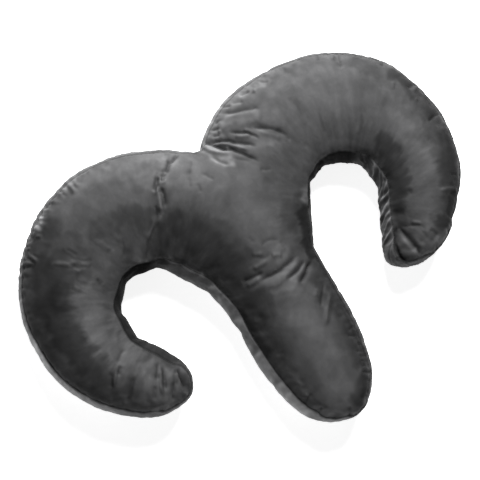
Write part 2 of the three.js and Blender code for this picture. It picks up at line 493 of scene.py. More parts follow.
folds = [
    # across the top of the leg
    fold(9, 11, 7, (-62, -30), (-40, -32), (-20, -34), (0, -35), (20, -31), (40, -29), (66, -20)),
    fold(-3.5, 11, 8, (-60, -46), (-30, -56), (0, -55), (25, -48), (50, -42), (72, -34)),
    fold(5, 7, 4, (-100, -12), (-84, -13), (-60, -15), (-36, -16)),
    fold(-2.5, 6, 6, (-94, -24), (-70, -25), (-50, -24)),
    fold(-3, 6, 6, (-58, 3), (-38, 2), (-14, 3)),
    fold(-3, 6, 7, (-2, 10), (12, 5), (28, -2)),
    fold(-2, 7, 6, (-42, 38), (-28, 29), (-14, 21)),
    fold(1.2, 6, 6, (-42, 32), (-30, 22), (-16, 14), (0, 12), (14, 8)),
    fold(3, 8, 14, (-12, 40), (0, 46), (15, 46), (25, 43), (32, 39), (42, 33)),
    fold(-2, 18, 10, (0, 16), (20, 12), (45, 12)),
    fold(1.2, 5, 5, (-27, 80), (-24, 68), (-18, 56)),
    fold(6.5, 8, 7, (0, -61), (20, -60), (40, -58), (56, -53), (78, -43)),
    fold(9, 6, 6, (26, -86), (48, -79), (60, -73), (70, -66), (80, -60), (96, -52)),
    fold(-2, 6, 6, (46, -137), (55, -127), (64, -118)),
    fold(4.5, 12, 8, (40, -165), (56, -151), (73, -134), (92, -115)),
    fold(-4, 5, 7, (26, -212), (46, -188), (62, -172), (78, -158), (90, -140)),
    # down the leg and around its tip
    fold(2.5, 5, 5, (103, -250), (88, -249), (74, -252), start=1),
    fold(3.5, 4, 5, (100, -274), (86, -270), (66, -258), start=1),
    fold(2.5, 5, 5, (100, -298), (88, -296), (76, -289), start=1),
    fold(3.5, 4, 5, (98, -318), (84, -313), (62, -303), start=1),
    fold(3, 4, 4, (94, -332), (82, -326), (64, -318), start=1),
    fold(3, 4, 4, (90, -344), (78, -338), (60, -328), start=1),
    fold(3, 4, 5, (84, -356), (72, -349), (58, -340), start=1),
    fold(4, 4, 4, (76, -372), (64, -364), (50, -354), start=1),
    fold(3.5, 4, 4, (-30, -436), (-26, -424), (-20, -410), start=1),
    fold(3, 4, 4, (-10, -442), (-22, -436), (-36, -430)),
    fold(3.5, 5, 5, (-98, -388), (-88, -384), (-80, -374), start=1),
    fold(3, 5, 6, (-110, -352), (-99, -340), (-84, -334), start=1),
    fold(-2, 5, 5, (-104, -338), (-98, -332), (-92, -338)),
    # the deep fold across the root of the left arm
    fold(8, 4, 4.5, (-70, 355), (-85, 349), (-95, 348), (-103, 340), (-112, 330), (-120, 318), start=1),
    fold(4, 3.5, 3.5, (-118, 338), (-122, 327), (-126, 316)),
    fold(5.5, 3.5, 3.5, (-126, 328), (-131, 319), (-136, 312), (-134, 305)),
    fold(7, 3.5, 3.5, (-139, 328), (-148, 318), (-157, 309), (-164, 299), (-168, 290)),
    fold(-3, 4, 4, (-134, 323), (-143, 310), (-150, 301)),
    fold(-2.5, 5, 5, (-128, 302), (-136, 304), (-143, 306)),
    fold(8, 8, 3.5, (-148, 300), (-153, 286), (-157, 272), (-162, 259), (-170, 245)),
    fold(-5.5, 3.5, 13, (-157, 306), (-160, 292), (-159, 280), (-162, 269), (-166, 259), (-173, 247),
         (-181, 234)),
    fold(2.5, 3.5, 3.5, (-184, 265), (-188, 252), (-198, 237)),
    fold(4, 12, 3.5, (-192, 227), (-210, 216), (-228, 205), (-242, 192), (-256, 177), (-270, 162),
         end=0.8),
    fold(-3.5, 6, 9, (-196, 240), (-218, 220), (-246, 198)),
    fold(2.5, 8, 8, (-60, 310), (-75, 285), (-90, 250)),
    # the folds that fan out from the top notch
    fold(6, 4, 4.5, (12, 350), (20, 335), (27, 322), (35, 308), (45, 298), (55, 292), (62, 280),
         (80, 255), (90, 240), (97, 228), (102, 220), start=1),
    fold(-4, 5, 7, (5, 345), (10, 325), (25, 305), (40, 292), (58, 283), start=1),
    fold(-3, 4, 4, (42, 306), (46, 302), (50, 298)),
    fold(-4, 4, 4, (30, 330), (45, 318), (62, 300), (75, 285), (90, 268), (98, 262), start=0.5),
    fold(6.5, 5, 5, (25, 340), (50, 325), (60, 318), (70, 305), (80, 297), (90, 288), (100, 280),
         (108, 272), start=0.8, end=0.5),
    fold(-3.5, 6, 6, (80, 318), (95, 308), (117, 296)),
    fold(5, 3.5, 3.5, (72, 338), (85, 328), (100, 316), (110, 310), (118, 300), (125, 290), (133, 275)),
    fold(-2.5, 4, 4, (108, 322), (117, 312), (125, 300)),
    fold(8.5, 12, 6, (128, 316), (148, 302), (166, 292), (180, 279), (193, 262), (200, 245), end=0.4),
    fold(-2.5, 5, 7, (138, 296), (154, 281), (170, 266), (184, 248)),
    fold(3.5, 7, 4, (93, 392), (105, 380), (120, 373), (140, 366), (155, 358), (165, 355), (172, 342),
         start=0.6),
    fold(-1.5, 6, 9, (88, 382), (120, 362), (142, 352), (165, 345)),
    fold(3.5, 4, 4, (103, 412), (110, 404), (118, 397), start=1),
    fold(3, 7, 7, (122, 407), (136, 398), (152, 389)),
    fold(3.5, 5, 5, (152, 414), (166, 411), (182, 409)),
    fold(-3, 5, 5, (188, 404), (194, 396)),
    fold(3.5, 4, 4, (33, 354), (42, 349), (53, 343)),
    fold(3.5, 4, 4, (40, 368), (50, 366), (62, 361)),
    fold(3, 4, 4, (58, 380), (68, 381), (78, 382)),
    fold(-3, 4, 4, (53, 355), (61, 350)),
    # the middle of the body
    fold(3.5, 6, 6, (-2, 312), (5, 300), (10, 285), (20, 270), (30, 258)),
    fold(2, 6, 6, (-44, 326), (-60, 308), (-76, 288)),
    fold(2, 5, 5, (-64, 260), (-68, 246), (-71, 232)),
    fold(2, 6, 6, (-42, 280), (-33, 262), (-24, 243)),
    fold(2, 8, 8, (42, 276), (58, 258), (85, 238)),
    fold(2.5, 6, 5, (88, 212), (100, 204), (118, 197)),
    fold(-3, 5, 5, (-102, 392), (-90, 380), (-76, 368), start=1),
    fold(3.5, 5, 5, (-90, 396), (-80, 385), (-70, 372), start=1),
    # the right arm
    fold(3.5, 5, 5, (396, 412), (386, 401), (380, 386), start=1),
    fold(3, 5, 6, (218, 424), (226, 413), (237, 404), start=0.6),
    fold(-3, 6, 6, (254, 448), (246, 436), (240, 424), start=1),
    fold(3.5, 4, 4, (446, 408), (432, 405), (420, 395), start=1),
    fold(-3, 4, 5, (438, 392), (425, 383), (412, 371)),
    fold(3.5, 6, 8, (446, 388), (434, 372), (424, 352), (417, 334)),
    fold(-3.5, 5, 5, (470, 377), (462, 368)),
    fold(3.5, 5, 5, (506, 368), (492, 361), (476, 356), start=1),
    fold(3.5, 4, 4, (514, 356), (498, 348), (484, 340), start=1),
    fold(-3, 5, 5, (498, 376), (484, 369), (466, 366), start=1),
    fold(-4, 6, 6, (528, 344), (520, 337), (512, 331), start=1),
    fold(4, 6, 6, (560, 312), (540, 304), (518, 292), start=1),
    fold(4, 9, 7, (588, 213), (566, 211), (544, 207), start=1),
    fold(-3, 5, 7, (586, 202), (568, 198), (550, 193), start=1),
    fold(4.5, 4.5, 4.5, (594, 111), (572, 110), (556, 107), (541, 103), start=1),
    fold(-2, 4, 5, (521, 241), (512, 231), (503, 222)),
    fold(-2, 4, 4, (553, 169), (544, 170)),
    # the tip of the right arm
    fold(8, 4, 5, (326, -92), (316, -104), (307, -118), (301, -134), (298, -150), (299, -163),
         (303, -176), start=0.7, end=1),
    fold(-1.5, 6, 8, (322, -118), (326, -145), (334, -166), (345, -182), end=0.8),
    fold(8, 9, 4, (333, -92), (333, -110), (335, -130), (338, -150), (343, -165), (345, -177), start=0.6,
         end=1),
    fold(2, 5, 4, (335, -83), (345, -97), (357, -103), (365, -108), (378, -118), (383, -130),
         (388, -138)),
    fold(-3, 4, 4, (362, -97), (374, -105), (384, -115)),
    fold(2, 4, 4, (375, -130), (377, -145), (378, -158)),
    fold(3.5, 4, 5, (395, -135), (403, -150), (410, -165)),
    fold(-3.5, 4, 9, (466, -64), (494, -71), (530, -88)),
    fold(3, 4, 5, (520, -42), (532, -47), (546, -53)),
    fold(2, 6, 6, (404, -20), (403, -28), (405, -36)),
    # the left arm, around its hole
    fold(3, 4, 4, (-397, 177), (-395, 167), (-393, 157)),
    fold(-2, 6, 6, (-408, 163), (-420, 180), (-432, 195), (-440, 203)),
    fold(2, 6, 6, (-430, 160), (-443, 180), (-455, 197)),
    fold(-3, 6, 6, (-470, 260), (-455, 250), (-440, 240), (-425, 237), (-418, 225)),
    fold(2.5, 5, 5, (-438, 230), (-426, 224), (-420, 214)),
    fold(-2.5, 5, 5, (-416, 226), (-402, 219), (-395, 209)),
    fold(2, 3.5, 4, (-426, 277), (-418, 263), (-410, 245)),
    fold(-2, 6, 7, (-343, 256), (-338, 238), (-333, 219)),
    fold(-5, 7, 8, (-470, 399), (-470, 376), (-468, 351), start=1),
    fold(-4, 5, 5, (-452, 398), (-449, 388), (-444, 375), start=1),
    fold(4, 4, 4, (-436, 396), (-440, 388), (-444, 382), start=1),
    fold(-3.5, 4, 4, (-430, 404), (-427, 396), (-424, 388), start=1),
    fold(3.5, 4, 4, (-420, 418), (-419, 408), (-417, 396), start=1),
    fold(3, 4, 4, (-399, 426), (-398, 418), (-397, 408), start=1),
    fold(3, 4, 4, (-358, 441), (-357, 432), (-356, 422), start=1),
    fold(-3.5, 6, 6, (-345, 438), (-341, 411), (-338, 385), start=1),
    fold(-2.5, 5, 5, (-327, 426), (-326, 412), (-324, 398), start=1),
    fold(-5, 6, 6, (-514, 354), (-508, 345), (-503, 338), start=1),
    fold(3.5, 5, 5, (-494, 372), (-490, 356), (-484, 342), start=1),
    fold(-3.5, 4, 4, (-518, 337), (-510, 332), (-502, 328), start=1),
    fold(-3.5, 4, 4, (-517, 323), (-509, 307), (-500, 283)),
    fold(2.5, 4, 5, (-524, 322), (-516, 304), (-508, 286)),
    fold(-3.5, 5, 5, (-476, 346), (-469, 341), (-461, 335)),
    fold(-4, 5, 5, (-550, 314), (-546, 307), (-541, 300), start=1),
    # the left arm's end
    fold(3.5, 8, 8, (-420, -3), (-438, -12), (-457, -26)),
    fold(-3, 4.5, 5, (-448, -29), (-460, -38), (-472, -48), (-484, -62), (-494, -74)),
    fold(5, 4, 3.5, (-450, -34), (-458, -42), (-470, -53)),
    fold(3, 3.5, 6, (-478, -35), (-488, -55), (-498, -70)),
    fold(5.5, 6, 9, (-433, -67), (-444, -80), (-456, -92), (-465, -104), (-478, -116), (-490, -124)),
    fold(4, 4, 4, (-370, -72), (-381, -91), (-396, -112)),
    fold(-5, 4, 4, (-370, -88), (-379, -104), (-388, -121), (-396, -136), (-402, -148)),
    fold(8, 5, 5, (-364, -87), (-370, -100), (-378, -115), (-385, -130), (-393, -145)),
    fold(3.5, 4, 4, (-403, -118), (-412, -129), (-426, -148)),
    fold(6, 4, 4, (-360, -133), (-371, -150), (-380, -163), (-391, -178)),
    fold(4.5, 4, 4, (-341, -108), (-350, -126), (-361, -149)),
    fold(-5.5, 4.5, 4.5, (-342, -110), (-346, -126), (-350, -140), (-353, -158), (-352, -180), end=1),
    fold(9.5, 6, 6, (-337, -107), (-337, -120), (-341, -136), (-342, -152), (-343, -169)),
    fold(-6, 4, 5, (-327, -120), (-328, -138), (-332, -152), (-338, -167)),
]


foldMaking = {
    "fade": 0.24,  # the share of its path over which a fold fades out at an end
    "round": 1.2,  # how round the bottom of a trough is, and how steep its sides are
    "steep": 1.25,
    "margin": 4.5,  # how far out a fold is worked out, in its widths
    "wander": 1.0,  # how far a path strays, and over what length
    "wanderSize": 11.0,
    "creaseWidth": 3.2,
    "panelShare": 0.5,  # what the seam takes from a fold beside it, and how far in that reaches
    "panelReach": 5.0,
    "bandShare": 0.5,  # what is left of a fold below the seam, and how far down that reaches
    "bandReach": 14.0,
    "bandEnd": 0.03,
}


def smoothPath(path, step=2.0):
    # points every few millimetres on a smooth curve through the path's own
    points = np.array(path, float)
    ends = np.r_[[2 * points[0] - points[1]], points, [2 * points[-1] - points[-2]]]
    pieces = []
    for k in range(len(points) - 1):
        a, b, c, d = ends[k : k + 4]
        count = max(2, math.ceil(np.linalg.norm(c - b) / step))
        pieces.append(smoothCurve(a, b, c, d, (np.arange(count) / count)[:, None]))
    return np.concatenate([*pieces, points[-1:]])


def besidePath(places, path):
    # for each place: the distance from the path, left positive, and the share along it
    best = np.full(len(places), np.inf)
    side = np.zeros(len(places))
    share = np.zeros(len(places))
    points = smoothPath(path)
    steps = np.linalg.norm(np.diff(points, axis=0), axis=1)
    run = np.r_[0, np.cumsum(steps)] / steps.sum()
    for k, (a, b) in enumerate(zip(points, points[1:])):
        way = b - a
        t = np.clip((places - a) @ way / (way @ way), 0, 1)
        off = places - a - t[:, None] * way
        gap = np.hypot(off[:, 0], off[:, 1])
        closer = gap < best
        turn = way[0] * (places[:, 1] - a[1]) - way[1] * (places[:, 0] - a[0])
        best = np.where(closer, gap, best)
        side = np.where(closer, np.sign(turn), side)
        share = np.where(closer, run[k] + (run[k + 1] - run[k]) * t, share)
    return best * np.where(side < 0, -1, 1), share


def eased(x):
    x = np.clip(x, 0, 1)
    return x * x * (3 - 2 * x)


def foldHeight(places, one):
    # how far one fold lifts each place, and how far the place is from the fold's path
    gap, share = besidePath(places, one["path"])
    width = np.where(gap > 0, one["left"], one["right"])
    if one["depth"] > 0:
        bottom = foldMaking["round"]
        shape = np.exp(-foldMaking["steep"] * (np.sqrt(gap**2 + bottom**2) - bottom) / width)
    else:
        shape = np.exp(-((gap / width) ** 2))
    start, end, fade = one["start"], one["end"], foldMaking["fade"]
    strength = start + (1 - start) * eased(share / fade)
    strength *= end + (1 - end) * eased((1 - share) / fade)
    return -one["depth"] * shape * strength, gap


def wandering(points, size, far):
    # how far each place is moved about by a noise of that size
    return np.array([noise.noise_vector(Vector(point) / size) for point in points]) * far


def handFolds(cover):
    # heights of all the folds in mm, and how deep in a crease each point lies, for the painted shade in the
    # creases
    places = cover.flatPlan / mm
    places = places + wandering(cover.points / mm, foldMaking["wanderSize"], foldMaking["wander"])[:, :2]
    height = np.zeros(len(places))
    crease = np.zeros(len(places))
    reachable = ~cover.onUnder & (cover.fromTop < foldMaking["bandEnd"]) | cover.onTop
    for one in folds:
        path = np.array(one["path"])
        margin = foldMaking["margin"] * max(one["left"], one["right"])
        low, high = path.min(0) - margin, path.max(0) + margin
        near = reachable & np.all((places > low) & (places < high), axis=1)
        rise, gap = foldHeight(places[near], one)
        height[near] += rise
        crease[near] += np.maximum(-rise, 0) * np.exp(-((gap / foldMaking["creaseWidth"]) ** 2))
    # a fold that reaches the seam pulls it along a little, and dies out down the band
    beside = cover.fromTop / mm
    onPanel = 1 - foldMaking["panelShare"] * np.exp(-((beside / foldMaking["panelReach"]) ** 2))
    onBand = foldMaking["bandShare"] * np.exp(-((beside / foldMaking["bandReach"]) ** 2))
    share = np.where(cover.onTop, onPanel, onBand)
    return height * share, np.where(cover.onTop, crease, crease * share)


# What the seams do to the cloth beside them
puckers = {
    "seed": 7,
    "gap": (7, 19),  # millimetres along the seam from one pucker to the next
    "reach": (10, 38),
    "reachShare": 0.6,  # of the reach that even the lowest puckers have
    "width": (2.6, 5.0),
    "height": (0.5, 1.7),
    "hollow": 1.3,  # how much deeper the hollows are than the ridges are high
    "widening": 0.8,
    "slant": 0.35,
    "tuck": (0.5, 1.0),  # the height of the tucks down the band
    "tuckWidth": (1.0, 1.6),  # in widths of the pucker
    "tuckSlant": 0.25,
    "tuckMiddle": 50,
    "lowShare": 0.5,  # the puckers of the lower seam, beside those of the top one
    "lowReach": 14,
    "grooveDepth": 2.2,
    "grooveWidth": 4.0,
    "bandGrooveWidth": 2.4,
    "grooveSteep": 1.5,
}


def seamPuckers(cover):
    # small uneven ridges and hollows that run out from both seams, and tucks down the band
    draw = random.Random(puckers["seed"])
    rim = cover.points[cover.topRing]
    least = puckers["reachShare"]
    levels = np.c_[alongSeams(rim, "pucker"), alongSeams(rim, "tuck")]
    around = cover.perimeter / mm
    run = cover.run / mm
    order = np.argsort(run, kind="stable")
    sortedRun = run[order]
    fromTop, fromLow = cover.fromTop / mm, cover.fromLow / mm
    bandHeight = (cover.fromTop + cover.fromLow) / mm
    height = np.zeros(len(run))
    at = 0.0
    while at < around:
        at += draw.uniform(*puckers["gap"])
        panelLevel, bandLevel = levels[int(at / around * cover.count) % cover.count]
        reach = draw.uniform(*puckers["reach"]) * (least + (1 - least) * panelLevel)
        width = draw.uniform(*puckers["width"])
        rise = draw.uniform(*puckers["height"]) * draw.choice((-puckers["hollow"], 1))
        slant = draw.uniform(-1, 1) * puckers["slant"]
        tuck = draw.uniform(*puckers["tuck"]) * draw.choice((-1, 1))
        tuckWidth = width * draw.uniform(*puckers["tuckWidth"])
        tuckSlant = draw.uniform(-1, 1) * puckers["tuckSlant"]
        spread = 4 * width + abs(slant) * reach * 1.5 + 12  # wide enough for the whole pucker
        for shift in (-around, 0, around):
            first, last = np.searchsorted(sortedRun, (at - spread + shift, at + spread + shift))
            near = order[first:last]
            if not len(near):
                continue
            off = run[near] - at - shift
            top, band, under = cover.onTop[near], cover.onBand[near], cover.onUnder[near]
            share = fromTop[near] / reach
            lean = off - slant * fromTop[near]
            wide = width * (1 + puckers["widening"] * share)
            onPanel = np.exp(-((lean / wide) ** 2)) * np.exp(-2 * share**2)
            down = fromTop[near] / np.maximum(bandHeight[near], 1)
            leanBand = off - tuckSlant * (fromTop[near] - puckers["tuckMiddle"])
            onBand = np.exp(-((leanBand / tuckWidth) ** 2)) * np.sqrt(np.sin(math.pi * np.clip(down, 0, 1)))
            low = np.exp(-((off / width) ** 2)) * np.exp(-((fromLow[near] / puckers["lowReach"]) ** 2))
            low *= puckers["lowShare"] * rise
            height[near] += np.where(top, rise * panelLevel * onPanel, 0)
            height[near] += np.where(band, tuck * bandLevel * onBand + low, 0)
            height[near] += np.where(under, low, 0)
    return height * mm


# Where the band is gathered into slanting ruches, from one place of the rim on to the next
ruches = [
    {"from": (225, 145), "to": (345, 118), "gap": 13, "width": 4.0, "height": 2.2, "slant": 0.5},
    {"from": (350, 112), "to": (305, -95), "gap": 17, "width": 6.0, "height": 5.5, "slant": 0.8},
    {"from": (302, -105), "to": (340, -200), "gap": 12, "width": 4.0, "height": 3.0, "slant": 1.6},
]
gathering = {
    "widths": (0.75, 1.3),  # how much the ruches of a row differ
    "heights": (0.55, 1.1),
    "slants": (0.7, 1.2),
    "gaps": (0.7, 1.35),
    "wave": 2.5,  # the ruches aren't straight, and each has a hollow beside it
    "waveLength": 9.0,
    "hollow": 0.5,
    "hollowAt": 1.3,
    "top": -4.0,  # they begin just above the seam and fade out down the band
    "topFade": 12.0,
    "bottom": 72.0,
    "bottomFade": 45.0,
}


def bandRuches(cover):
    draw = random.Random(puckers["seed"])
    rim = cover.points[cover.topRing]
    step = cover.perimeter / cover.count / mm
    run, down = cover.run / mm, cover.fromTop / mm
    deep = np.where(cover.onTop, -down, down)
    fade = eased((deep - gathering["top"]) / gathering["topFade"])
    fade *= eased((gathering["bottom"] - deep) / gathering["bottomFade"])
    height = np.zeros(len(run))
    for ruche in ruches:
        ends = np.array([(*ruche["from"], 0), (*ruche["to"], 0)]) * mm
        (first, last), _ = nearestOf(flat(rim), ends)
        at, stop = first * step, last * step
        while at < stop:
            width = ruche["width"] * draw.uniform(*gathering["widths"])
            rise = ruche["height"] * draw.uniform(*gathering["heights"])
            slant = ruche["slant"] * draw.uniform(*gathering["slants"])
            lean = run - at - slant * deep
            lean -= gathering["wave"] * np.sin(deep / gathering["waveLength"] + at)
            shape = np.exp(-((lean / width) ** 2))
            shape -= gathering["hollow"] * np.exp(-((lean / width + gathering["hollowAt"]) ** 2))
            height += rise * shape * fade
            at += ruche["gap"] * draw.uniform(*gathering["gaps"])
    return np.where(cover.onUnder, 0, height) * mm


def seamGroove(cover):
    near = np.minimum(cover.fromTop, cover.fromLow) / mm
    width = np.where(cover.onBand, puckers["bandGrooveWidth"], puckers["grooveWidth"])
    return -puckers["grooveDepth"] * np.exp(-((near / width) ** puckers["grooveSteep"])) * mm


# Soft unevenness of the filling
lumps = {"size": 0.09, "height": 2.2, "smallSize": 0.035, "smallHeight": 0.5}


def fillingLumps(cover):
    height = np.empty(len(cover.points))
    for i, point in enumerate(cover.points):
        place = Vector(point)
        height[i] = lumps["height"] * noise.noise(place / lumps["size"])
        height[i] += lumps["smallHeight"] * noise.noise(place / lumps["smallSize"])
    return height * mm


def shapeCloth(cover):
    normals = cover.normals()
    folded, cover.crease = handFolds(cover)
    height = folded * mm + seamPuckers(cover) + bandRuches(cover) + seamGroove(cover) + fillingLumps(cover)
    flatUnder = cover.onUnder & (cover.fromLow > cut["restShare"] * cut["restInset"])
    height[flatUnder] = 0
    cover.points = cover.points + normals * height[:, None]
    cover.points[:, 2] = np.maximum(cover.points[:, 2], 0)


shapeCloth(cover)
print("folds and seams shaped")


# How light the pile is painted, in steps of doubling: painted light and shade by the way the cloth
# faces, for a pile brushed one way, and by strokes of pile tone and of painted light and shade
pileShading = {
    "towards": 70.0,  # plan direction in which it is brushed; slopes that face it are painted lighter
    "lean": 0.5,  # painted light and shade by the slope of the panel that way
    "along": 0.9,  # by the square of that slope, and of the slope across it
    "across": -2.9,
    "steepest": 0.5,  # a steeper slope counts no more than this
    "bandTuckShading": 2.2,  # painted light and shade by the slope of the band's tucks along its seam
    "bandSteepest": 0.6,
    "bandTopShade": 0.8,  # painted shade just under the seam, and how far down it reaches
    "bandTopShadeReach": 6.0,
    "edgeShare": 0.4,  # how much of the facing still counts beside a seam
    "edgeReach": 0.022,
    "crease": 0.13,  # painted shade: doublings lost for each millimetre down in a crease
}


# Strokes of pile tone, with painted highlights and painted shade along folds and seams. Each
# stroke has its half width, how many doublings lighter it makes the pile, and its path
def toneAndShadeStroke(width, light, *path):
    return {"path": path, "width": width, "light": light}


